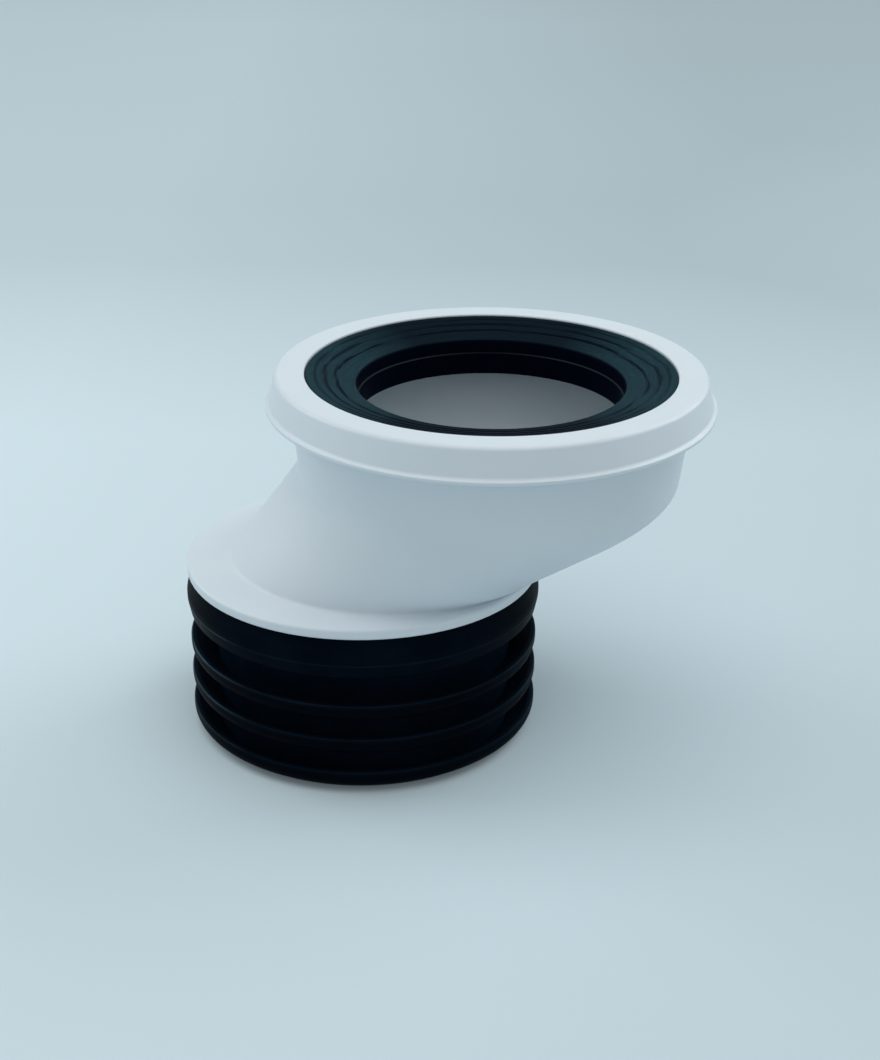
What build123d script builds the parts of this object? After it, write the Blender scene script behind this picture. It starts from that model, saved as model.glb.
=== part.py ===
from build123d import *
import os

# Layout, in mm: the outlet axis is Z, the base plane is the seal's nose, the inlet axis lies towards +X.
axis_offset = 40.0
slip = 0.15                  # gap left where one piece slides inside another

# Outlet spigot and flange
bore_radius = 41.0
wall = 3.0
nose_under = 3.0             # rubber below the spigot's open end
flange_radius = 56.2
flange_under = 52.8
flange_thick = 3.4
flange_round = 0.9

# Inlet socket
mouth_radius = 61.8          # outside, just under the rim
mouth_height = 104.0         # where the neck ends and the plain mouth begins
socket_draft = 0.12          # radius lost for each mm down from the mouth
rim_rise = 6.0               # plain mouth between the neck and the rim
rim_reach = 2.6
rim_thick = 2.6
rim_round = 0.4

# Offset neck: level ovals between straight sides that run out into the socket at different heights
neck_sink = 3.2              # depth of the neck's foot inside the flange
neck_steep_step = 0.9        # foot past the spigot on the steep side
neck_side_step = 0.7         # foot past the spigot on both flanks
neck_shallow_step = 3.5      # foot short of the flange's edge under the overhang
neck_steep_drop = 17.3       # run-out of the steep side below the mouth
neck_side_drop = 10.5        # the same for both flanks
neck_shallow_drop = 26.0     # the same for the sloping underside
neck_steep_blend = 4.0       # half height of the soft corner where a side runs out
neck_side_blend = 7.0
neck_shallow_blend = 7.0
neck_steps = 8
neck_lead = 7.0              # length of neck drawn below the flange's underside and cut away

# Retaining cap
cap_cover = 6.9              # width of the seal's rim that the cap covers
cap_wall = 4.2               # skirt round the socket's rim
cap_draft = 2.3              # radius lost from the skirt up to the face
cap_face_thick = 2.5
cap_lip_reach = 0.8
cap_lip_height = 1.5
cap_lip_blend = 0.4          # height of the slope from the skirt out to the lip
cap_hang = 2.3               # skirt below the socket's rim
cap_edge_round = 1.6
cap_fine_round = 0.5
hook_inset = 1.2             # how far the snap hook reaches in under the rim

# Inlet seal
seal_rim_thick = 3.0
hole_radius = 41.4
hole_round = 3.6
dish_outer = 2.3             # height of the membrane's outer edge above the clamped rim
dish_drop = 3.7              # fall of the membrane from its outer edge to the hole
sleeve_drop = 10.0           # sleeve's foot below the socket's top
sleeve_wall = 2.2
sleeve_round = 0.8
seal_ease = 0.5              # room between the seal's under-side step and the socket's wall
seal_step = 1.2              # height of that step
ledge_drop = 2.7             # ledge in the sleeve's bore below the socket's top
ledge_reach = 0.5            # step inwards from the hole to the sleeve's bore

# Outlet seal
sleeve_thick = 3.5
fin_radius = 56.0
fin_count = 3
fin_pitch = 11.45
first_lip = 7.6              # height of the lowest fin's lip
lip_thick = 1.6
lip_height = 4.0
lip_round = 0.5
fin_round = 4.4              # where a fin's lip turns under
fin_fall = 6.0               # drop of a fin's outer face from its lip to the sleeve
fin_root = 1.0               # how deep a fin is rooted in the sleeve
nose_round = 1.5
collar_radius = 56.6
collar_height = 13.2         # flange's underside down to the collar's foot
collar_shoulder = 6.3        # height of the sloping shoulder under the flange
collar_slope = 1.8           # radius lost up the shoulder
collar_band = 2.2            # upright band below the shoulder
collar_taper = 1.0           # radius lost from that band down to the foot
collar_swell = 6.0           # soft corners above and below the band
collar_round = 1.2

# Places that follow from the sizes above
spigot_radius = bore_radius + wall
flange_top = flange_under + flange_thick
neck_foot = flange_top - neck_sink
foot_radius = mouth_radius - socket_draft * (mouth_height - neck_foot)
rim_radius = mouth_radius + rim_reach
rim_under = mouth_height + rim_rise
rim_top = rim_under + rim_thick
cap_under = rim_top + seal_rim_thick
cap_top = cap_under + cap_face_thick


def turned(points, rounds=()):
    face = make_face(Polyline(*points, close=True))
    for corner, radius in rounds:
        nearest = face.vertices().sort_by_distance((*points[corner], 0))[0]
        face = fillet(nearest, radius)
    return revolve(Plane.XZ * face, Axis.Z)


def oval(left, right, half_width, z):
    half_length = (right - left) / 2
    return Pos((left + right) / 2, 0, z) * scale(Circle(1), by=(half_length, half_width, 1))


def runout(z, top, blend):
    # 1 at the neck's foot, 0 above the height where that side meets the socket, rounded between
    left_to_go = top - z
    if left_to_go < -blend:
        return 0
    if left_to_go < blend:
        left_to_go = (left_to_go + blend) ** 2 / (4 * blend)
    return left_to_go / (top - neck_foot)


def neck_oval(z, skin):
    radius = mouth_radius - socket_draft * (mouth_height - z)
    steep = runout(z, mouth_height - neck_steep_drop, neck_steep_blend)
    shallow = runout(z, mouth_height - neck_shallow_drop, neck_shallow_blend)
    side = runout(z, mouth_height - neck_side_drop, neck_side_blend)
    steep_run = axis_offset - foot_radius + spigot_radius + neck_steep_step
    shallow_run = axis_offset + foot_radius - flange_radius + neck_shallow_step
    side_run = foot_radius - spigot_radius - neck_side_step
    left = axis_offset - radius - steep_run * steep + skin * (1 + 0.3 * min(1, 3 * steep))
    right = axis_offset + radius - shallow_run * shallow - skin * (1 + min(1, 3 * shallow))
    return oval(left, right, radius - side_run * side - skin, z)


def neck_heights(start):
    return [start + (mouth_height - start) * step / neck_steps for step in range(neck_steps + 1)]


# Body: spigot and flange turned about Z, neck lofted, socket mouth turned about the inlet axis
spigot = turned([(0, nose_under), (spigot_radius, nose_under), (spigot_radius, flange_under),
                 (flange_radius, flange_under), (flange_radius, flange_top), (0, flange_top)],
                [(3, flange_round), (4, flange_round)])
neck = loft([neck_oval(z, 0) for z in neck_heights(flange_under - neck_lead)])
neck = split(neck, Plane.XY.offset(neck_foot), keep=Keep.TOP)
mouth = turned([(0, mouth_height), (mouth_radius, mouth_height), (mouth_radius, rim_under),
                (rim_radius, rim_under), (rim_radius, rim_top), (0, rim_top)],
               [(3, rim_round), (4, rim_round)])
waterway = Pos(0, 0, nose_under) * Cylinder(bore_radius, neck_foot - nose_under,
                                            align=(Align.CENTER, Align.CENTER, Align.MIN))
bore_end = oval(-bore_radius, bore_radius, bore_radius, neck_foot)
hollow = loft([bore_end] + [neck_oval(z, wall) for z in neck_heights(neck_foot)[1:]], ruled=True)
cavity = Pos(axis_offset, 0, mouth_height) * Cylinder(mouth_radius - wall, rim_top - mouth_height,
                                                      align=(Align.CENTER, Align.CENTER, Align.MIN))
body = spigot + neck + Pos(axis_offset, 0, 0) * mouth - waterway - hollow - cavity

# Retaining cap: face, flaring skirt with a projecting lip, hook under the socket's rim
cap_opening = rim_radius - cap_cover
cap_bore = rim_radius + slip * 2
cap_skirt_radius = cap_bore + cap_wall
cap_face_radius = cap_skirt_radius - cap_draft
cap_lip_radius = cap_skirt_radius + cap_lip_reach
cap_foot = rim_under - cap_hang
hook_radius = cap_bore - hook_inset
hook_top = rim_under - slip
retaining_cap = turned([(cap_opening, cap_under), (cap_opening, cap_top), (cap_face_radius, cap_top),
                        (cap_skirt_radius, cap_foot + cap_lip_height + cap_lip_blend),
                        (cap_lip_radius, cap_foot + cap_lip_height), (cap_lip_radius, cap_foot),
                        (hook_radius, cap_foot), (hook_radius, hook_top - hook_inset),
                        (cap_bore, hook_top), (cap_bore, cap_under)],
                       [(1, cap_fine_round), (2, cap_edge_round), (5, cap_fine_round)])
retaining_cap = Pos(axis_offset, 0, 0) * retaining_cap

# Inlet seal: clamped rim, raised shoulder in the cap's opening, dished membrane, hanging sleeve
shoulder = cap_opening - slip
shoulder_top = cap_under + dish_outer
hole_top = shoulder_top - dish_drop
sleeve_bore = hole_radius - ledge_reach
sleeve_out = hole_radius + sleeve_wall
sleeve_foot = rim_top - sleeve_drop
ledge_height = rim_top - ledge_drop
inlet_seal = turned([(rim_radius, rim_top), (rim_radius, cap_under), (shoulder, cap_under),
                     (shoulder, shoulder_top), (hole_radius, hole_top), (hole_radius, ledge_height),
                     (sleeve_bore, ledge_height), (sleeve_bore, sleeve_foot),
                     (sleeve_out, sleeve_foot), (sleeve_out, rim_top - seal_step),
                     (mouth_radius - wall - seal_ease, rim_top)],
                    [(3, sleeve_round), (4, hole_round), (7, sleeve_round), (8, sleeve_round)])
inlet_seal = Pos(axis_offset, 0, 0) * inlet_seal

# Outlet seal: sleeve, bowl-shaped fins that open upwards, a collar under the flange, nose under the spigot
sleeve_radius = spigot_radius + sleeve_thick
sleeve = turned([(bore_radius, 0), (sleeve_radius, 0), (sleeve_radius, flange_under),
                 (spigot_radius, flange_under), (spigot_radius, nose_under), (bore_radius, nose_under)])
collar_foot = flange_under - collar_height
collar_edge = flange_under - collar_shoulder
root_radius = sleeve_radius - fin_root
collar = turned([(root_radius, flange_under), (collar_radius - collar_slope, flange_under),
                 (collar_radius, collar_edge), (collar_radius, collar_edge - collar_band),
                 (collar_radius - collar_taper, collar_foot), (root_radius, collar_foot + lip_thick)],
                [(2, collar_swell), (3, collar_swell), (4, collar_round)])
fin = turned([(fin_radius - lip_thick, 0), (fin_radius, 0), (fin_radius, -lip_height),
              (sleeve_radius, -lip_height - fin_fall), (root_radius, -lip_height - fin_fall),
              (root_radius, -fin_fall), (sleeve_radius, -fin_fall)],
             [(0, lip_round), (1, lip_round), (2, fin_round)])
outlet_seal = sleeve + collar
for step in range(fin_count):
    outlet_seal += Pos(0, 0, first_lip + step * fin_pitch) * fin
below = Pos(0, 0, -fin_pitch) * Cylinder(collar_radius, fin_pitch,
                                         align=(Align.CENTER, Align.CENTER, Align.MIN))
outlet_seal -= below
nose_edge = outlet_seal.edges().filter_by(GeomType.CIRCLE).group_by(Axis.Z)[0].sort_by(SortBy.RADIUS)[-1]
outlet_seal = fillet(nose_edge, nose_round)

os.makedirs("parts", exist_ok=True)
export_step(body, "parts/body.step")
export_step(retaining_cap, "parts/retaining_cap.step")
export_step(inlet_seal, "parts/inlet_seal.step")
export_step(outlet_seal, "parts/outlet_seal.step")
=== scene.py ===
import math

import bmesh
import bpy
from mathutils import Matrix, Vector


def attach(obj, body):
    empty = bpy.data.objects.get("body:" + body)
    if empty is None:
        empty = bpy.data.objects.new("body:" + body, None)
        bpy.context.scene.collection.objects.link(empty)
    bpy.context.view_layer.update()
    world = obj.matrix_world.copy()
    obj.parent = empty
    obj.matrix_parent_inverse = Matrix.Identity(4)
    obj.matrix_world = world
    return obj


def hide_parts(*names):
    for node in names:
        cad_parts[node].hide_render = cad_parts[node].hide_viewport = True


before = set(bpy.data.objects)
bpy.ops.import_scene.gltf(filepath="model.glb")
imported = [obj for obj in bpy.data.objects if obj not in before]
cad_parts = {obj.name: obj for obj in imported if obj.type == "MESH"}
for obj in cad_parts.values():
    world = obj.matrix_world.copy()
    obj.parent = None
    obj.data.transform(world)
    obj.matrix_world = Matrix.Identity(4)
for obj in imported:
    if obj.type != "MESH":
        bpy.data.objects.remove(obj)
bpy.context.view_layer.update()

mm = 0.001
scene = bpy.context.scene


# small helpers for trees and meshes

def newTree(name, inputs):
    tree = bpy.data.node_groups.new(name, "GeometryNodeTree")
    tree.interface.new_socket("Geometry", in_out="INPUT", socket_type="NodeSocketGeometry")
    for label, kind in inputs:
        tree.interface.new_socket(label, in_out="INPUT", socket_type=kind)
    tree.interface.new_socket("Geometry", in_out="OUTPUT", socket_type="NodeSocketGeometry")
    return tree, tree.nodes.new("NodeGroupInput")


def addNode(tree, kind, settings=None, **inputs):
    # i2 stands for the third socket, any other key for a socket's name with _ in place of a space
    node = tree.nodes.new(kind)
    for key, value in (settings or {}).items():
        setattr(node, key, value)
    for key, value in inputs.items():
        socket = node.inputs[int(key[1:]) if key[1:].isdigit() else key.replace("_", " ")]
        if isinstance(value, bpy.types.NodeSocket):
            tree.links.new(value, socket)
        else:
            socket.default_value = value
    return node


def mathNode(tree, operation, *values):
    sockets = {f"i{i}": value for i, value in enumerate(values)}
    return addNode(tree, "ShaderNodeMath", {"operation": operation}, **sockets).outputs[0]


def product(tree, result, *factors):
    for factor in factors:
        result = mathNode(tree, "MULTIPLY", result, factor)
    return result


def finishTree(tree, source, geometry):
    # every tree ends in plain geometry with its material
    realised = addNode(tree, "GeometryNodeRealizeInstances", Geometry=geometry)
    painted = addNode(tree, "GeometryNodeSetMaterial", Geometry=realised.outputs[0],
                      Material=source.outputs["Material"])
    tree.links.new(painted.outputs[0], tree.nodes.new("NodeGroupOutput").inputs[0])
    return tree


def linkObject(name, data):
    obj = bpy.data.objects.new(name, data)
    scene.collection.objects.link(obj)
    return obj


def addLayer(mesh, name, kind, domain, values):
    mesh.attributes.new(name, kind, domain).data.foreach_set("value", values)


def runTree(obj, tree, values):
    # sockets are set by identifier before the first evaluation
    modifier = obj.modifiers.new(tree.name, "NODES")
    modifier.node_group = tree
    for item in tree.interface.items_tree:
        if item.in_out == "INPUT" and item.name in values:
            modifier[item.identifier] = values[item.name]


def bakeMesh(obj):
    bpy.context.view_layer.update()
    depsgraph = bpy.context.evaluated_depsgraph_get()
    baked = bpy.data.meshes.new_from_object(obj.evaluated_get(depsgraph), preserve_all_data_layers=True,
                                            depsgraph=depsgraph)
    obj.modifiers.clear()
    obj.data = baked
    baked.name = obj.name


def outwardFaces(obj):
    work = bmesh.new()
    work.from_mesh(obj.data)
    bmesh.ops.remove_doubles(work, verts=work.verts, dist=1e-7)
    bmesh.ops.recalc_face_normals(work, faces=work.faces)
    if work.calc_volume(signed=True) < 0:
        bmesh.ops.reverse_faces(work, faces=work.faces)
    openEdges = sum(1 for edge in work.edges if not edge.is_manifold)
    work.to_mesh(obj.data)
    work.free()
    return openEdges


def smoothShade(obj, sharpAngle):
    obj.data.shade_smooth()
    obj.data.set_sharp_from_angle(angle=math.radians(sharpAngle))


def rounded(points, rounds, closed=True, steps=6):
    # outline of (radius, height) points with arcs at the corners named in rounds
    outline = []
    count = len(points)
    for i, point in enumerate(points):
        radius = rounds.get(i, 0)
        if not radius or (not closed and i in (0, count - 1)):
            outline.append(point)
            continue
        here = Vector(point)
        toLast = (Vector(points[i - 1]) - here).normalized()
        toNext = (Vector(points[(i + 1) % count]) - here).normalized()
        half = math.acos(max(-1, min(1, toLast.dot(toNext)))) / 2
        reach = radius / math.tan(half)
        start = here + toLast * reach
        end = here + toNext * reach
        centre = here + (toLast + toNext).normalized() * (radius / math.sin(half))
        for step in range(steps + 1):
            spoke = (start - centre).lerp(end - centre, step / steps)
            outline.append(tuple(centre + spoke.normalized() * radius))
    return outline


# level ovals skinned in order: each station is a left end, a right end, a half width, a height and a seam

stationLabels = ("left", "right", "halfWidth", "height", "seam")
seamWidth = 0.35 * mm


def ovalSkinTree():
    tree, source = newTree("ovalSkin", [("Columns", "NodeSocketInt"), ("Crowding", "NodeSocketFloat"),
                                        ("Seam Width", "NodeSocketFloat"),
                                        ("Material", "NodeSocketMaterial")])
    stations = source.outputs["Geometry"]
    columns = source.outputs["Columns"]
    rows = addNode(tree, "GeometryNodeAttributeDomainSize", {"component": "MESH"}, Geometry=stations)
    across = mathNode(tree, "ADD", columns, 1.0)
    grid = addNode(tree, "GeometryNodeMeshGrid", Vertices_X=rows.outputs["Point Count"], Vertices_Y=across)
    index = tree.nodes.new("GeometryNodeInputIndex").outputs[0]
    row = mathNode(tree, "FLOOR", mathNode(tree, "DIVIDE", mathNode(tree, "ADD", index, 0.5), across))
    column = mathNode(tree, "SUBTRACT", index, product(tree, row, across))
    turn = product(tree, mathNode(tree, "DIVIDE", column, columns), 2 * math.pi)
    # crowding draws the columns towards the plane of the seam
    crowd = product(tree, mathNode(tree, "SINE", product(tree, turn, 2.0)),
                    product(tree, source.outputs["Crowding"], -0.5))
    angle = mathNode(tree, "ADD", turn, crowd)

    def sampled(label):
        attribute = addNode(tree, "GeometryNodeInputNamedAttribute", {"data_type": "FLOAT"}, Name=label)
        pick = addNode(tree, "GeometryNodeSampleIndex", {"data_type": "FLOAT", "domain": "POINT"},
                       Geometry=stations, Value=attribute.outputs["Attribute"], Index=row)
        return pick.outputs[0]

    left, right, halfWidth, height, seam = [sampled(label) for label in stationLabels]
    middle = product(tree, mathNode(tree, "ADD", left, right), 0.5)
    halfLength = product(tree, mathNode(tree, "SUBTRACT", right, left), 0.5)
    sideways = product(tree, halfWidth, mathNode(tree, "SINE", angle))
    # parting line of the mould: a low ridge in the plane through both axes
    nearPlane = mathNode(tree, "DIVIDE", sideways, source.outputs["Seam Width"])
    ridge = mathNode(tree, "EXPONENT", product(tree, nearPlane, nearPlane, -1.0))
    reach = mathNode(tree, "ADD", halfLength, product(tree, ridge, seam))
    along = mathNode(tree, "MULTIPLY_ADD", reach, mathNode(tree, "COSINE", angle), middle)
    place = addNode(tree, "ShaderNodeCombineXYZ", X=along, Y=sideways, Z=height)
    moved = addNode(tree, "GeometryNodeSetPosition", Geometry=grid.outputs["Mesh"], Position=place.outputs[0])
    joined = addNode(tree, "GeometryNodeMergeByDistance", Geometry=moved.outputs[0], Distance=1e-6)
    return finishTree(tree, source, joined.outputs[0])


def circleStation(centre, radius, height, seam=0.0):
    return (centre - radius, centre + radius, radius, height, seam)


def skinned(name, stations, material, columns, crowding=0.0):
    # stations in mm
    mesh = bpy.data.meshes.new(name)
    mesh.from_pydata([(0, 0, station[3] * mm) for station in stations],
                     [(i, i + 1) for i in range(len(stations) - 1)], [])
    for slot, label in enumerate(stationLabels):
        addLayer(mesh, label, "FLOAT", "POINT", [station[slot] * mm for station in stations])
    obj = linkObject(name, mesh)
    runTree(obj, ovalSkin, {"Columns": columns, "Crowding": crowding, "Seam Width": seamWidth,
                            "Material": material})
    bakeMesh(obj)
    outwardFaces(obj)
    return obj


def turnedPiece(name, outline, centre, material, columns):
    # closed outline of (radius, height) turned about an upright axis
    stations = [circleStation(centre, r, z) for r, z in outline + outline[:1]]
    return skinned(name, stations, material, columns)


# materials, with places in metres

def newMaterial(name):
    material = bpy.data.materials.new(name)
    material.use_nodes = True
    tree = material.node_tree
    shader = tree.nodes["Principled BSDF"]
    place = tree.nodes.new("ShaderNodeTexCoord").outputs["Object"]
    return material, tree, shader, place


def noise(tree, place, scale, detail, roughness=0.5):
    node = addNode(tree, "ShaderNodeTexNoise", Vector=place, Scale=scale, Detail=detail, Roughness=roughness)
    return node.outputs["Fac"]


def mixColour(tree, factor, first, second):
    # a colour is three numbers or another node's output
    ends = [end if isinstance(end, bpy.types.NodeSocket) else (*end, 1) for end in (first, second)]
    return addNode(tree, "ShaderNodeMix", {"data_type": "RGBA"}, i0=factor, i6=ends[0], i7=ends[1]).outputs[2]


def ranged(tree, value, low, high, fromLow=0.3, fromHigh=0.7):
    return addNode(tree, "ShaderNodeMapRange", Value=value, From_Min=fromLow, From_Max=fromHigh,
                   To_Min=low, To_Max=high).outputs[0]


def roundAxis(tree, place, axis):
    # distance from an upright axis, the X and Y shares of the direction away from it, and the height
    apart = addNode(tree, "ShaderNodeSeparateXYZ", Vector=place)
    across = mathNode(tree, "SUBTRACT", apart.outputs["X"], axis)
    along = apart.outputs["Y"]
    squares = mathNode(tree, "ADD", product(tree, across, across), product(tree, along, along))
    away = mathNode(tree, "SQRT", squares)
    sideX = mathNode(tree, "DIVIDE", across, away)
    sideY = mathNode(tree, "DIVIDE", along, away)
    return away, sideX, sideY, apart.outputs["Z"]


def dress(tree, shader, colour, roughness, relief, look):
    bump = addNode(tree, "ShaderNodeBump", Height=relief, Strength=look["bumpStrength"],
                   Distance=look["bumpHeight"])
    tree.links.new(colour, shader.inputs["Base Color"])
    tree.links.new(roughness, shader.inputs["Roughness"])
    tree.links.new(bump.outputs[0], shader.inputs["Normal"])
    shader.inputs["Specular IOR Level"].default_value = look["specular"]


plasticLook = {
    "pale": (0.745, 0.81, 0.855),
    "shaded": (0.715, 0.785, 0.835),
    "cloudScale": 26.0,                  # slow drift of the colour
    "patchScale": 150.0,                 # patches of more and less shine
    "roughLow": 0.36,
    "roughHigh": 0.50,
    "specular": 0.4,
    "grainScale": 1700.0,
    "bumpStrength": 0.05,
    "bumpHeight": 0.0001,
}


def whitePlastic(name, look):
    material, tree, shader, place = newMaterial(name)
    cloud = noise(tree, place, look["cloudScale"], 3.0, 0.55)
    patch = noise(tree, place, look["patchScale"], 4.0)
    grain = noise(tree, place, look["grainScale"], 2.0)
    colour = mixColour(tree, ranged(tree, cloud, 0, 1), look["shaded"], look["pale"])
    dress(tree, shader, colour, ranged(tree, patch, look["roughLow"], look["roughHigh"]), grain, look)
    return material


rubberLook = {
    "black": (0.0009, 0.0027, 0.0063),
    "bloom": (0.0020, 0.0058, 0.0112),
    "cloudScale": 55.0,
    "paintedHighlight": (0.07, 0.125, 0.15),         # painted highlight colour along a lip
    "highlightAll": 0.06,                     # how much of it shows all round, at the left and at the right end
    "highlightLeft": 0.9,
    "highlightRight": 0.35,
    "leftEnd": (-0.92, -0.62),           # where an end begins and ends, as a share of the radius along X
    "rightEnd": (0.8, 0.97),
    "highlightLow": 0.25,                     # share of the painted highlight left at the lowest lip
    "lipHeights": (0.007, 0.042),
    "patchScale": 90.0,
    "patchLeast": 0.55,
    "finEndLight": 1.6,                      # painted light at both ends of the fins, painted shade at both ends of the collar above them
    "collarEndShade": 0.55,
    "litEndSpan": (0.7, 0.95),
    "collarFrom": (0.0385, 0.0395),
    "roughLow": 0.38,
    "roughHigh": 0.55,
    "specular": 0.012,
    "grainScale": 1400.0,
    "bumpStrength": 0.08,
    "bumpHeight": 0.0001,
}


def blackRubber(name, look):
    # the painted lip highlight and the painted light and shade on the fins are attributes of the piece
    material, tree, shader, place = newMaterial(name)
    cloud = noise(tree, place, look["cloudScale"], 5.0, 0.6)
    rubber = mixColour(tree, ranged(tree, cloud, 0, 1), look["black"], look["bloom"])
    _, sideX, _, height = roundAxis(tree, place, 0.0)
    # painted light in the gaps between the fins and painted shade down each fin's face, lighter at both ends
    # of the fins and darker at both ends of the collar
    atEnds = mathNode(tree, "ABSOLUTE", sideX)
    paintedEndLight = addNode(tree, "ShaderNodeMix", {"data_type": "FLOAT"},
                       i0=ranged(tree, height, 0, 1, *look["collarFrom"]),
                       i2=ranged(tree, atEnds, 1, look["finEndLight"], *look["litEndSpan"]),
                       i3=ranged(tree, atEnds, 1, look["collarEndShade"], *look["litEndSpan"])).outputs[0]
    paintedShading = addNode(tree, "ShaderNodeAttribute", {"attribute_name": "paintedShading"}).outputs["Fac"]
    shadedRubber = addNode(tree, "ShaderNodeVectorMath", {"operation": "SCALE"}, Vector=rubber,
                     Scale=product(tree, paintedShading, paintedEndLight)).outputs[0]
    # painted highlight on the lips, mostly at the ends and less the lower they are
    ends = mathNode(tree, "ADD", ranged(tree, sideX, look["highlightLeft"], 0, *look["leftEnd"]),
                    ranged(tree, sideX, 0, look["highlightRight"], *look["rightEnd"]))
    share = product(tree, mathNode(tree, "ADD", ends, look["highlightAll"]),
                    ranged(tree, height, look["highlightLow"], 1.0, *look["lipHeights"]))
    lipGlint = addNode(tree, "ShaderNodeAttribute", {"attribute_name": "lipGlint"}).outputs["Fac"]
    patch = noise(tree, place, look["patchScale"], 3.0)
    glintShare = product(tree, lipGlint, share, ranged(tree, patch, look["patchLeast"], 1.0, 0.35, 0.65))
    colour = mixColour(tree, glintShare, shadedRubber, look["paintedHighlight"])
    grain = noise(tree, place, look["grainScale"], 2.0)
    dress(tree, shader, colour, ranged(tree, cloud, look["roughLow"], look["roughHigh"]), grain, look)
    return material


membraneLook = {
    "black": (0.0006, 0.0020, 0.0072),
    "bloom": (0.0165, 0.046, 0.058),
    "roughLow": 0.42,
    "roughHigh": 0.62,
    "specular": 0.015,
    "bumpStrength": 0.2,
    "bumpHeight": 0.0003,
    "axis": 0.040,                       # the inlet axis, along X
    "bareTo": 0.0416,                    # no bloom inside this radius, full bloom past the next
    "bloomFrom": 0.0419,
    "sideSheen": (0.2, 1.0),             # painted reflection: bloom from the middle to both sides, and where that change lies
    "sideSpan": (0.55, 0.92),
    "frontSheen": (0.15, 1.0),           # the same from the front backwards
    "frontSpan": (-0.95, -0.75),
    "roundStretch": 2.2,                 # streaks are long round the axis and short across it
    "acrossStretch": 620.0,
    "streakScale": 1.6,
    "speckScale": 900.0,
    "grooveShades": ((0.0475, 0.9), (0.0512, 0.7), (0.0543, 0.45)),   # painted shade along the grooves: radius and depth of tone
    "grooveShadeWidth": (0.00132, 0.00018),   # where a streak is weak and where it is strong
    "wanderScale": 38.0,                 # the painted groove shades wander off their radius by this reach
    "wanderReach": 0.0045,
    "ledgeHeight": 0.1099,
    "ledgeRadius": 0.0414,
    "ledgeHighlight": (0.022, 0.030, 0.036),
    "ledgeHighlightFront": 0.35,                  # share of the painted highlight on the ledge at the front and the back
}


# membrane rubber: its own bloom, painted reflection to both sides, painted shade along the grooves and a
# painted highlight on the ledge
def bloomAndSheenRubber(name, look):
    # creases run round the inlet axis, so the streaks read turned coordinates
    material, tree, shader, place = newMaterial(name)
    away, sideX, sideY, height = roundAxis(tree, place, look["axis"])
    turned = addNode(tree, "ShaderNodeCombineXYZ", X=product(tree, sideX, look["roundStretch"]),
                     Y=product(tree, sideY, look["roundStretch"]),
                     Z=product(tree, away, look["acrossStretch"]))
    streak = noise(tree, turned.outputs[0], look["streakScale"], 5.0, 0.65)
    wander = noise(tree, place, look["wanderScale"], 2.0)
    speck = noise(tree, place, look["speckScale"], 2.0)
    # the bloom on the dished face is partly the rubber's own tone and partly painted reflection: strongest to
    # both sides, weak at the back and hardly any at the front
    besides = mathNode(tree, "ABSOLUTE", sideX)
    amount = product(tree, ranged(tree, besides, *look["sideSheen"], *look["sideSpan"]),
                     ranged(tree, sideY, *look["frontSheen"], *look["frontSpan"]),
                     ranged(tree, away, 0, 1, look["bareTo"], look["bloomFrom"]),
                     ranged(tree, streak, 0.72, 1.0, 0.42, 0.58),
                     ranged(tree, speck, 0.8, 1.0, 0.35, 0.65))
    # painted shade along the grooves of the membrane, wandering off their radius
    offCentre = mathNode(tree, "SUBTRACT", wander, 0.5)
    wandering = mathNode(tree, "MULTIPLY_ADD", offCentre, look["wanderReach"], away)
    width = ranged(tree, streak, *look["grooveShadeWidth"], 0.4, 0.6)
    for radius, tone in look["grooveShades"]:
        offGroove = mathNode(tree, "ABSOLUTE", mathNode(tree, "SUBTRACT", wandering, radius))
        beside = mathNode(tree, "DIVIDE", offGroove, width)
        amount = product(tree, amount, ranged(tree, beside, 1 - tone, 1.0, 0.2, 1.0))
    bloomed = mixColour(tree, amount, look["black"], look["bloom"])
    # painted highlight along the small ledge in the sleeve, most of it to both sides
    offLedge = mathNode(tree, "ABSOLUTE", mathNode(tree, "SUBTRACT", height, look["ledgeHeight"]))
    ledgeGlint = product(tree, ranged(tree, offLedge, 1, 0, 0.0001, 0.00025),
                      ranged(tree, away, 1, 0, look["ledgeRadius"], look["ledgeRadius"] + 0.0001),
                      ranged(tree, besides, look["ledgeHighlightFront"], 1.0, 0.0, 0.6))
    colour = mixColour(tree, ledgeGlint, bloomed, look["ledgeHighlight"])
    dress(tree, shader, colour, ranged(tree, streak, look["roughLow"], look["roughHigh"]), streak, look)
    return material


bodyWhite = whitePlastic("bodyWhite", plasticLook)
capWhite = whitePlastic("capWhite", {**plasticLook, "roughLow": 0.28, "roughHigh": 0.40})
finRubber = blackRubber("finRubber", rubberLook)
membraneRubber = bloomAndSheenRubber("membraneRubber", membraneLook)
print("materials ready")

ovalSkin = ovalSkinTree()


# body: spigot and flange, offset neck with socket, hollow, all sizes in mm

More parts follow.
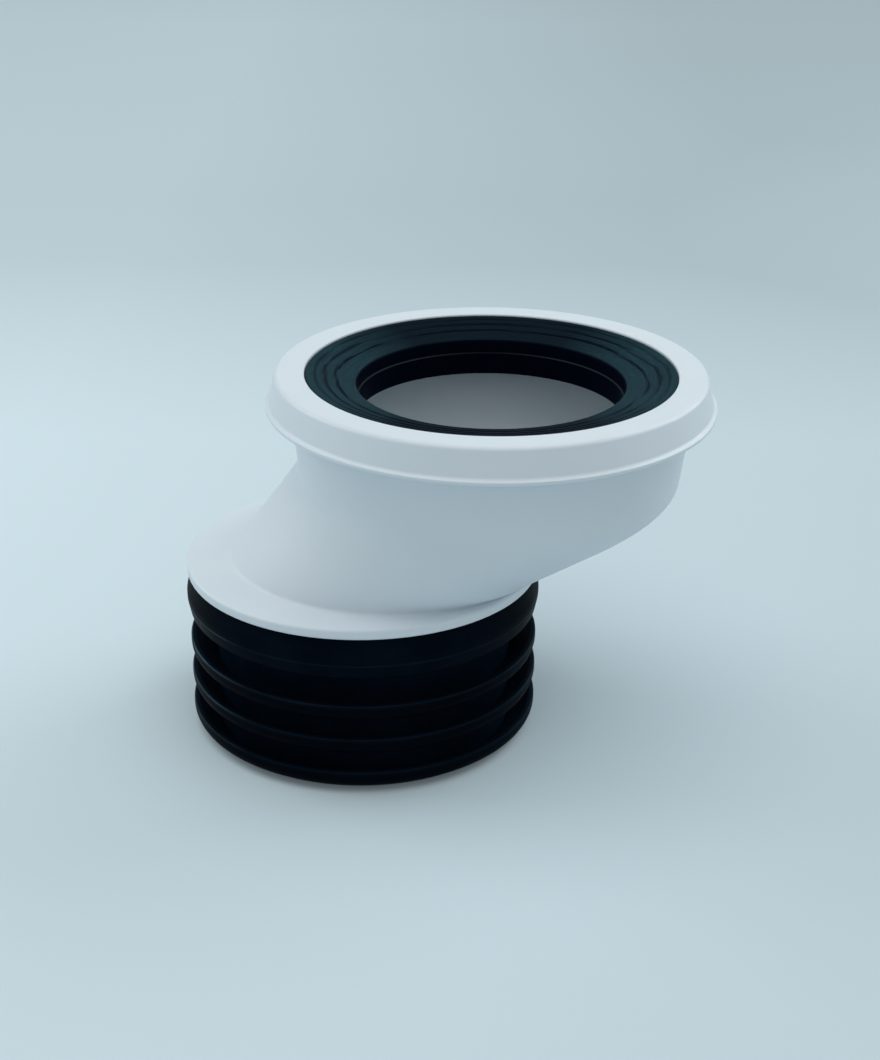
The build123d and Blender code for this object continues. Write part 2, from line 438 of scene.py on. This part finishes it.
bodySizes = {
    "axisOffset": 40.0, "bore": 41.0, "wall": 3.0, "spigotFoot": 3.0, "spigotRound": 0.6,
    "flangeRadius": 56.2, "flangeUnder": 52.8, "flangeTop": 56.2, "flangeRound": 0.9,
    "mouthRadius": 61.8, "mouthHeight": 104.0, "draft": 0.12,
    "rimRadius": 64.4, "rimUnder": 110.0, "rimTop": 112.6, "rimRound": 0.4,
    "neckFoot": 53.0, "footFillet": 1.4, "filletSink": 0.1, "seam": 0.2,
    "steepTop": 86.7, "steepBlend": 4.0, "steepFoot": 44.9,          # where each side runs out, and its foot
    "shallowTop": 78.0, "shallowBlend": 7.0, "shallowFoot": 52.7,
    "sideTop": 93.5, "sideBlend": 7.0, "sideFoot": 44.7,
    "hollowEntry": 6.375,                # height in which the round bore opens to the inside of the neck
    "hollowPast": 2.0,                   # how far the cut runs past the rim
    "levelStep": 0.8, "filletStep": 0.2,
    "spigotColumns": 256, "socketColumns": 288, "hollowColumns": 240, "socketCrowding": 0.8,
    "sharpAngle": 28,
}


def runOut(z, top, blend, foot):
    # 1 at the neck's foot, 0 above the height where that side meets the socket, rounded between
    toGo = top - z
    if toGo < -blend:
        return 0.0
    if toGo < blend:
        toGo = (toGo + blend) ** 2 / (4 * blend)
    return toGo / (top - foot)


def neckLevel(z, skin, size):
    axis = size["axisOffset"]
    foot = size["neckFoot"]
    radius = size["mouthRadius"] - size["draft"] * (size["mouthHeight"] - z)
    footRadius = size["mouthRadius"] - size["draft"] * (size["mouthHeight"] - foot)
    steep = runOut(z, size["steepTop"], size["steepBlend"], foot)
    shallow = runOut(z, size["shallowTop"], size["shallowBlend"], foot)
    side = runOut(z, size["sideTop"], size["sideBlend"], foot)
    left = axis - radius - (axis - footRadius + size["steepFoot"]) * steep
    right = axis + radius - (axis + footRadius - size["shallowFoot"]) * shallow
    halfWidth = radius - (footRadius - size["sideFoot"]) * side
    # a slanting wall is wider across
    left += skin * (1 + 0.3 * min(1, 3 * steep))
    right -= skin * (1 + min(1, 3 * shallow))
    return left, right, halfWidth - skin


def levels(start, end, step):
    count = max(1, round((end - start) / step))
    return [start + (end - start) * i / count for i in range(count + 1)]


def spigotSolid(size):
    outside = size["bore"] + size["wall"]
    outline = rounded([(0, size["spigotFoot"]), (outside, size["spigotFoot"]), (outside, size["flangeUnder"]),
                       (size["flangeRadius"], size["flangeUnder"]), (size["flangeRadius"], size["flangeTop"]),
                       (0, size["flangeTop"])],
                      {1: size["spigotRound"], 3: size["flangeRound"], 4: size["flangeRound"]}, closed=False)
    return turnedPiece("connectorBody", outline, 0, bodyWhite, size["spigotColumns"])


def socketSolid(size):
    # the neck has a small fillet where it stands on the flange
    fillet = size["footFillet"]
    filletTop = size["flangeTop"] + fillet
    stations = []
    for z in (levels(size["neckFoot"], filletTop, size["filletStep"])
              + levels(filletTop, size["mouthHeight"], size["levelStep"])[1:]):
        left, right, halfWidth = neckLevel(z, 0, size)
        rise = max(0.0, min(fillet, z - size["flangeTop"] + size["filletSink"]))
        flare = fillet - math.sqrt(max(0.0, fillet ** 2 - (fillet - rise) ** 2))
        stations.append((left - flare, right, halfWidth + flare, z, size["seam"]))
    mouth = rounded([(size["mouthRadius"], size["mouthHeight"]), (size["mouthRadius"], size["rimUnder"]),
                     (size["rimRadius"], size["rimUnder"]), (size["rimRadius"], size["rimTop"]),
                     (0, size["rimTop"])], {2: size["rimRound"], 3: size["rimRound"]}, closed=False)
    stations += [circleStation(size["axisOffset"], r, z, size["seam"]) for r, z in mouth[1:-1]]
    left, right, _, foot, _ = stations[0]
    bottom = circleStation((left + right) / 2, 0, foot)
    top = circleStation(size["axisOffset"], 0, stations[-1][3])
    return skinned("socket", [bottom] + stations + [top], bodyWhite, size["socketColumns"],
                   size["socketCrowding"])


def hollowSolid(size):
    # bore, inside of the neck, cavity open at the top
    bore = size["bore"]
    foot = size["neckFoot"]
    entryTop = foot + size["hollowEntry"]
    entry = neckLevel(entryTop, size["wall"], size)
    stations = [circleStation(0, 0, 0), circleStation(0, bore, 0), circleStation(0, bore, foot)]
    for z in levels(foot, entryTop, size["levelStep"])[1:-1]:
        share = (z - foot) / size["hollowEntry"]
        stations.append((*(a + (b - a) * share for a, b in zip((-bore, bore, bore), entry)), z, 0))
    for z in levels(entryTop, size["mouthHeight"], size["levelStep"]):
        stations.append((*neckLevel(z, size["wall"], size), z, 0))
    past = size["rimTop"] + size["hollowPast"]
    cavity = size["mouthRadius"] - size["wall"]
    stations += [circleStation(size["axisOffset"], radius, past) for radius in (cavity, 0)]
    return skinned("hollow", stations, bodyWhite, size["hollowColumns"])


def buildBody(size):
    body = spigotSolid(size)
    helpers = (("UNION", socketSolid(size)), ("DIFFERENCE", hollowSolid(size)))
    for operation, other in helpers:
        cut = body.modifiers.new(operation.lower(), "BOOLEAN")
        cut.operation = operation
        cut.solver = "EXACT"
        cut.object = other
    bakeMesh(body)
    for _, other in helpers:
        bpy.data.objects.remove(other)
    openEdges = outwardFaces(body)
    smoothShade(body, size["sharpAngle"])
    print("body built, open edges", openEdges, "faces", len(body.data.polygons))
    return body


# retaining cap: face, flaring skirt, projecting lip, hook under the socket's rim

capSizes = {
    "axisOffset": 40.0, "opening": 57.5, "faceRadius": 66.6, "skirtRadius": 68.55, "lipRadius": 69.7,
    "foot": 107.7, "lipHeight": 1.1, "lipBlend": 0.5, "under": 115.6, "top": 118.1,
    "innerRadius": 64.7, "hookRadius": 63.5, "hookTop": 109.85, "hookSlope": 1.2,
    "openingRound": 0.5, "edgeRound": 1.6, "skirtFillet": 1.2, "lipTopRound": 0.25, "lipFootRound": 0.35,
    "hookRound": 0.3, "columns": 288, "sharpAngle": 40,
}


def buildCap(size):
    lipTop = size["foot"] + size["lipHeight"]
    outline = rounded([(size["opening"], size["under"]), (size["opening"], size["top"]),
                       (size["faceRadius"], size["top"]), (size["skirtRadius"], lipTop + size["lipBlend"]),
                       (size["lipRadius"], lipTop), (size["lipRadius"], size["foot"]),
                       (size["hookRadius"], size["foot"]),
                       (size["hookRadius"], size["hookTop"] - size["hookSlope"]),
                       (size["innerRadius"], size["hookTop"]), (size["innerRadius"], size["under"])],
                      {1: size["openingRound"], 2: size["edgeRound"], 3: size["skirtFillet"],
                       4: size["lipTopRound"], 5: size["lipFootRound"], 6: size["hookRound"]})
    cap = turnedPiece("retainingRing", outline, size["axisOffset"], capWhite, size["columns"])
    smoothShade(cap, size["sharpAngle"])
    print("retaining ring built, faces", len(cap.data.polygons))
    return cap


# inlet seal: clamped rim, dished membrane with fine grooves, hanging sleeve with a ledge

inletSizes = {
    "axisOffset": 40.0, "rimRadius": 64.4, "rimTop": 112.6, "rimRound": 0.3, "capUnder": 115.6,
    "shoulder": 57.35, "shoulderTop": 117.9, "shoulderRound": 0.8,
    "holeRadius": 41.4, "holeTop": 114.2, "holeRound": 1.0,
    "sleeveFoot": 102.6, "sleeveWall": 2.2, "sleeveRound": 0.8,
    "ledge": 109.9, "ledgeReach": 0.5, "ledgeRound": 0.25, "wallRadius": 58.3, "wallStep": 1.2,
    "grooves": ((47.5, 0.35), (51.2, 0.28), (54.3, 0.2)), "grooveWidth": 0.9,    # radius and depth
    "membraneSteps": 90, "arcSteps": 8, "columns": 256, "sharpAngle": 50,
}


def groovedSlope(start, end, size):
    # finer points between two ends of the membrane, sunk at the grooves
    points = []
    for step in range(1, size["membraneSteps"]):
        share = step / size["membraneSteps"]
        r, z = (a + (b - a) * share for a, b in zip(start, end))
        for groove, depth in size["grooves"]:
            z -= depth * math.exp(-((r - groove) / (size["grooveWidth"] / 2)) ** 2)
        points.append((r, z))
    return points


def buildInletSeal(size):
    bore = size["holeRadius"] - size["ledgeReach"]
    out = size["holeRadius"] + size["sleeveWall"]
    outline = rounded([(size["rimRadius"], size["rimTop"]), (size["rimRadius"], size["capUnder"]),
                       (size["shoulder"], size["capUnder"]), (size["shoulder"], size["shoulderTop"]),
                       (size["holeRadius"], size["holeTop"]), (size["holeRadius"], size["ledge"]),
                       (bore, size["ledge"]), (bore, size["sleeveFoot"]), (out, size["sleeveFoot"]),
                       (out, size["rimTop"] - size["wallStep"]), (size["wallRadius"], size["rimTop"])],
                      {0: size["rimRound"], 1: size["rimRound"], 3: size["shoulderRound"],
                       4: size["holeRound"], 6: size["ledgeRound"], 7: size["sleeveRound"],
                       8: size["sleeveRound"]},
                      steps=size["arcSteps"])
    fine = []
    for point, after in zip(outline, outline[1:] + outline[:1]):
        fine.append(point)
        if point[0] - after[0] > (size["shoulder"] - size["holeRadius"]) / 2:
            fine += groovedSlope(point, after, size)
    seal = turnedPiece("inletSeal", fine, size["axisOffset"], membraneRubber, size["columns"])
    smoothShade(seal, size["sharpAngle"])
    print("inlet seal built, faces", len(seal.data.polygons))
    return seal


# outlet seal: fins repeated up the sleeve by a tree, then the whole outline turned about the outlet axis

outletSizes = {
    "bore": 41.0, "boreRound": 0.3, "spigot": 44.0, "sleeve": 47.5, "top": 52.8,
    "noseUnder": 3.0, "noseRound": 1.5,
    "finRadius": 56.0, "finPitch": 11.45, "firstLip": 7.6, "finsAbove": 2, "lipThick": 1.6, "lipHeight": 4.0,
    "finFall": 6.0, "finRound": 4.4, "lipRound": 0.5, "rootRound": 0.8,
    "collarRadius": 56.6, "collarFoot": 39.6, "collarShoulder": 6.3, "collarSlope": 1.8, "collarBand": 2.2,
    "collarTaper": 1.0, "collarRise": 1.4, "collarSwell": 6.0, "collarRound": 1.2,
    "glintBand": 0.45, "collarGlint": 0.7, "collarGlintBand": 0.3,      # painted highlight lines on the lips and the collar
    "lipBand": 0.6, "faceShade": 0.5, "gapLight": 2.4,                 # painted shade below a lip, painted light in the gaps between the fins
    "gapFrom": 53.5,                                                 # the gaps lie inside this radius
    "segments": 288, "sharpAngle": 40,
}


def finnedSealTree():
    tree, source = newTree("finnedSeal", [("Fin Count", "NodeSocketInt"), ("Fin Pitch", "NodeSocketFloat"),
                                          ("Rail Radius", "NodeSocketFloat"), ("Segments", "NodeSocketInt"),
                                          ("Material", "NodeSocketMaterial")])
    isFin = addNode(tree, "GeometryNodeInputNamedAttribute", {"data_type": "BOOLEAN"}, Name="finEdge")
    parted = addNode(tree, "GeometryNodeSeparateGeometry", {"domain": "EDGE"},
                     Geometry=source.outputs["Geometry"], Selection=isFin.outputs["Attribute"])
    step = addNode(tree, "ShaderNodeCombineXYZ", Y=product(tree, source.outputs["Fin Pitch"], -1.0))
    ladder = addNode(tree, "GeometryNodeMeshLine", Count=source.outputs["Fin Count"], Offset=step.outputs[0])
    fins = addNode(tree, "GeometryNodeInstanceOnPoints", Points=ladder.outputs[0], Instance=parted.outputs[0])
    realised = addNode(tree, "GeometryNodeRealizeInstances", Geometry=fins.outputs[0])
    together = addNode(tree, "GeometryNodeJoinGeometry")
    tree.links.new(realised.outputs[0], together.inputs[0])
    tree.links.new(parted.outputs[1], together.inputs[0])
    outline = addNode(tree, "GeometryNodeMergeByDistance", Geometry=together.outputs[0], Distance=2e-6)
    curve = addNode(tree, "GeometryNodeMeshToCurve", Mesh=outline.outputs[0])
    rail = addNode(tree, "GeometryNodeCurvePrimitiveCircle", Resolution=source.outputs["Segments"],
                   Radius=source.outputs["Rail Radius"])
    turned = addNode(tree, "GeometryNodeCurveToMesh", Curve=rail.outputs[0], Profile_Curve=curve.outputs[0])
    return finishTree(tree, source, turned.outputs[0])


def finPoints(lip, size):
    return [(size["finRadius"], lip - size["lipHeight"]), (size["finRadius"], lip),
            (size["finRadius"] - size["lipThick"], lip), (size["sleeve"], lip - size["finFall"])]


def finOutline(size):
    # from the lowest fin's inner foot up the sleeve and round the next fin
    lip = size["firstLip"] + size["finPitch"]
    points = [(size["sleeve"], size["firstLip"] - size["finFall"]),
              (size["sleeve"], lip - size["lipHeight"] - size["finFall"])] + finPoints(lip, size)
    rounds = {1: size["rootRound"], 2: size["finRound"], 3: size["lipRound"], 4: size["lipRound"]}
    return rounded(points, rounds, closed=False)


def restOutline(size):
    # from the highest fin's inner foot round the collar, down the inside and round the lowest fin
    lip = size["firstLip"]
    joint = lip - size["finFall"] + size["finsAbove"] * size["finPitch"]
    edge = size["top"] - size["collarShoulder"]
    coneSlope = (size["finRadius"] - size["sleeve"]) / size["finFall"]
    noseEdge = size["finRadius"] - (lip - size["lipHeight"]) * coneSlope
    points = [(size["sleeve"], joint), (size["sleeve"], size["collarFoot"] + size["collarRise"]),
              (size["collarRadius"] - size["collarTaper"], size["collarFoot"]),
              (size["collarRadius"], edge - size["collarBand"]), (size["collarRadius"], edge),
              (size["collarRadius"] - size["collarSlope"], size["top"]), (size["spigot"], size["top"]),
              (size["spigot"], size["noseUnder"]), (size["bore"], size["noseUnder"]), (size["bore"], 0),
              (noseEdge, 0)] + finPoints(lip, size)
    rounds = {1: size["rootRound"], 2: size["collarRound"], 3: size["collarSwell"], 4: size["collarSwell"],
              9: size["boreRound"], 10: size["noseRound"], 11: size["finRound"],
              12: size["lipRound"], 13: size["lipRound"]}
    return rounded(points, rounds, closed=False)


def glintAndShading(r, z, size):
    # how much painted highlight a point of the outline gets, and its tone of painted light and shade
    lips = [size["firstLip"] + step * size["finPitch"] for step in range(size["finsAbove"] + 1)]
    offLip = min(abs(z - lip) for lip in lips)
    collarLine = size["top"] - size["collarShoulder"] - size["collarBand"]
    paintedHighlight = 0.0
    if offLip < size["glintBand"] and r > size["finRadius"] - size["lipRound"]:
        paintedHighlight = 1.0
    elif abs(z - collarLine) < size["collarGlintBand"] and r > size["finRadius"]:
        paintedHighlight = size["collarGlint"]
    if z >= size["collarFoot"]:
        return paintedHighlight, 1.0
    if r <= size["gapFrom"]:
        return paintedHighlight, size["gapLight"]
    return paintedHighlight, 1.0 if offLip < size["lipBand"] else size["faceShade"]


def buildOutletSeal(size):
    points, edges, finEdges, marks = [], [], [], []
    for outline, isFin in ((finOutline(size), True), (restOutline(size), False)):
        first = len(points)
        points += [((r - size["sleeve"]) * mm, -z * mm, 0) for r, z in outline]
        marks += [glintAndShading(r, z, size) for r, z in outline]
        edges += [(i, i + 1) for i in range(first, len(points) - 1)]
        finEdges += [isFin] * (len(outline) - 1)
    mesh = bpy.data.meshes.new("outletSeal")
    mesh.from_pydata(points, edges, [])
    addLayer(mesh, "finEdge", "BOOLEAN", "EDGE", finEdges)
    # attributes for the painted lip highlight and for the painted light and shade on the fins
    addLayer(mesh, "lipGlint", "FLOAT", "POINT", [paintedHighlight for paintedHighlight, shadingTone in marks])
    addLayer(mesh, "paintedShading", "FLOAT", "POINT", [shadingTone for paintedHighlight, shadingTone in marks])
    seal = linkObject("outletSeal", mesh)
    runTree(seal, finnedSealTree(), {"Fin Count": size["finsAbove"], "Fin Pitch": size["finPitch"] * mm,
                                     "Rail Radius": size["sleeve"] * mm, "Segments": size["segments"],
                                     "Material": finRubber})
    bakeMesh(seal)
    openEdges = outwardFaces(seal)
    smoothShade(seal, size["sharpAngle"])
    print("outlet seal built, open edges", openEdges, "faces", len(seal.data.polygons))
    return seal


bodyPiece = buildBody(bodySizes)
capPiece = buildCap(capSizes)
inletPiece = buildInletSeal(inletSizes)
outletPiece = buildOutletSeal(outletSizes)

for piece, node, slot in ((bodyPiece, "body", "body_plastic"), (capPiece, "retaining_cap", "cap_plastic"),
                          (inletPiece, "inlet_seal", "inlet_rubber"),
                          (outletPiece, "outlet_seal", "outlet_rubber")):
    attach(piece, "root")
    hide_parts(node)
print("pieces in place")


# floor, light and camera, in metres

stageLook = {
    "floorReach": 8.0,
    "floorPale": (0.68, 0.80, 0.853),
    "floorShade": (0.425, 0.512, 0.548),  # painted shade on the floor, behind the object and to its right
    "behindShare": 0.55,
    "behindFrom": (0.25, 0.55),          # the painted shade comes in here along Y, and goes again there
    "behindTo": (0.7, 1.5),
    "rightShare": 0.6,
    "rightFrom": (-0.17, 0.28),
    "floorRough": 0.9,
    "floorSpecular": 0.1,
    "floorGlow": 0.12,                   # share of the backdrop's tone seen in the floor, all of it far away
    "glowFrom": (1.3, 4.0),
    "backdrop": (0.44, 0.55, 0.60),
    "ambient": (0.92, 0.975, 1.0),
    "ambientStrength": 0.30,
    "skyTurn": (4, 0, 0),                # tilt of the wide soft light towards the front
    "skySpread": 60,
    "skyStrength": 1.08,
    "skyColour": (0.965, 0.99, 1.0),
}


def seenRay(tree):
    # 1 where the stage is looked at, straight or in a reflection, 0 where it only lights the object
    path = tree.nodes.new("ShaderNodeLightPath")
    mirrored = mathNode(tree, "MAXIMUM", path.outputs["Is Glossy Ray"], path.outputs["Is Transmission Ray"])
    return mathNode(tree, "MAXIMUM", path.outputs["Is Camera Ray"], mirrored)


def blendShaders(tree, share, first, second, output):
    blend = addNode(tree, "ShaderNodeMixShader", i0=share, i1=first.outputs[0], i2=second.outputs[0])
    tree.links.new(blend.outputs[0], tree.nodes[output].inputs[0])


def buildFloor(look):
    reach = look["floorReach"]
    mesh = bpy.data.meshes.new("floor")
    mesh.from_pydata([(-reach, -reach, 0), (reach, -reach, 0), (reach, reach, 0), (-reach, reach, 0)], [],
                     [(0, 1, 2, 3)])
    floor = linkObject("floor", mesh)
    material, tree, shader, place = newMaterial("floorPaper")
    spot = addNode(tree, "ShaderNodeSeparateXYZ", Vector=place)
    # painted shade on the floor, deeper behind the object and to its right
    behind = product(tree, ranged(tree, spot.outputs["Y"], 0, look["behindShare"], *look["behindFrom"]),
                     ranged(tree, spot.outputs["Y"], 1, 0, *look["behindTo"]))
    rightward = ranged(tree, spot.outputs["X"], 0, look["rightShare"], *look["rightFrom"])
    floorShadeShare = mathNode(tree, "ADD", behind, rightward)
    tree.links.new(mixColour(tree, floorShadeShare, look["floorPale"], look["floorShade"]), shader.inputs["Base Color"])
    shader.inputs["Roughness"].default_value = look["floorRough"]
    shader.inputs["Specular IOR Level"].default_value = look["floorSpecular"]
    glow = addNode(tree, "ShaderNodeEmission", Color=(*look["backdrop"], 1), Strength=1.0)
    away = roundAxis(tree, place, 0.0)[0]
    share = product(tree, seenRay(tree), ranged(tree, away, look["floorGlow"], 1.0, *look["glowFrom"]))
    blendShaders(tree, share, shader, glow, "Material Output")
    mesh.materials.append(material)


def buildSky(look):
    world = bpy.data.worlds.new("studio")
    scene.world = world
    world.use_nodes = True
    tree = world.node_tree
    ambient = tree.nodes["Background"]
    ambient.inputs["Color"].default_value = (*look["ambient"], 1)
    ambient.inputs["Strength"].default_value = look["ambientStrength"]
    seen = addNode(tree, "ShaderNodeBackground", Color=(*look["backdrop"], 1))
    blendShaders(tree, seenRay(tree), ambient, seen, "World Output")
    sky = bpy.data.lights.new("wideSky", "SUN")
    sky.angle = math.radians(look["skySpread"])
    sky.energy = look["skyStrength"]
    sky.color = look["skyColour"]
    lamp = linkObject("wideSky", sky)
    lamp.rotation_euler = [math.radians(turn) for turn in look["skyTurn"]]


lampColour = (0.94, 0.98, 1.0)
lampSizes = [
    # name, place, aim, width, height, watts
    ("front", (0.1, -0.9, 0.95), (0.0, 0.0, 0.06), 0.9, 0.9, 1.2),
    ("leftSide", (-1.0, 0.35, 0.75), (0.0, 0.0, 0.06), 0.8, 0.9, 4.2),
    ("rightSide", (0.95, 0.55, 0.75), (0.04, 0.0, 0.06), 0.8, 0.9, 5.6),
]


def buildLamps(lamps):
    for name, place, aim, width, height, watts in lamps:
        data = bpy.data.lights.new(name, "AREA")
        data.shape = "RECTANGLE"
        data.size = width
        data.size_y = height
        data.energy = watts
        data.color = lampColour
        lamp = linkObject(name, data)
        lamp.location = place
        lamp.rotation_euler = (Vector(aim) - Vector(place)).to_track_quat("-Z", "Y").to_euler()


# place in metres, turns in degrees, focal length in pixels of a picture this tall
viewSettings = {"place": (0.0236, -0.5346, 0.2996), "pitch": 23.79, "yaw": 0.11, "roll": 0.44,
                "focalPixels": 1827.5, "tallSide": 1060, "sensor": 36, "clipStart": 0.01}


def buildCamera(view):
    pitch, yaw, roll = (math.radians(view[turn]) for turn in ("pitch", "yaw", "roll"))
    forward = Vector((math.sin(yaw) * math.cos(pitch), math.cos(yaw) * math.cos(pitch), -math.sin(pitch)))
    right = Vector((math.cos(yaw), -math.sin(yaw), 0))
    up = right.cross(forward)
    tiltedRight = right * math.cos(roll) + up * math.sin(roll)
    tiltedUp = up * math.cos(roll) - right * math.sin(roll)
    turn = Matrix((tiltedRight, tiltedUp, -forward)).transposed()
    data = bpy.data.cameras.new("photoView")
    data.sensor_width = view["sensor"]
    data.lens = view["focalPixels"] * view["sensor"] / view["tallSide"]
    data.clip_start = view["clipStart"]
    camera = linkObject("photoView", data)
    camera.matrix_world = Matrix.Translation(view["place"]) @ turn.to_4x4()
    scene.camera = camera


buildFloor(stageLook)
buildSky(stageLook)
buildLamps(lampSizes)
buildCamera(viewSettings)
scene.view_settings.view_transform = "Standard"
print("stage ready")
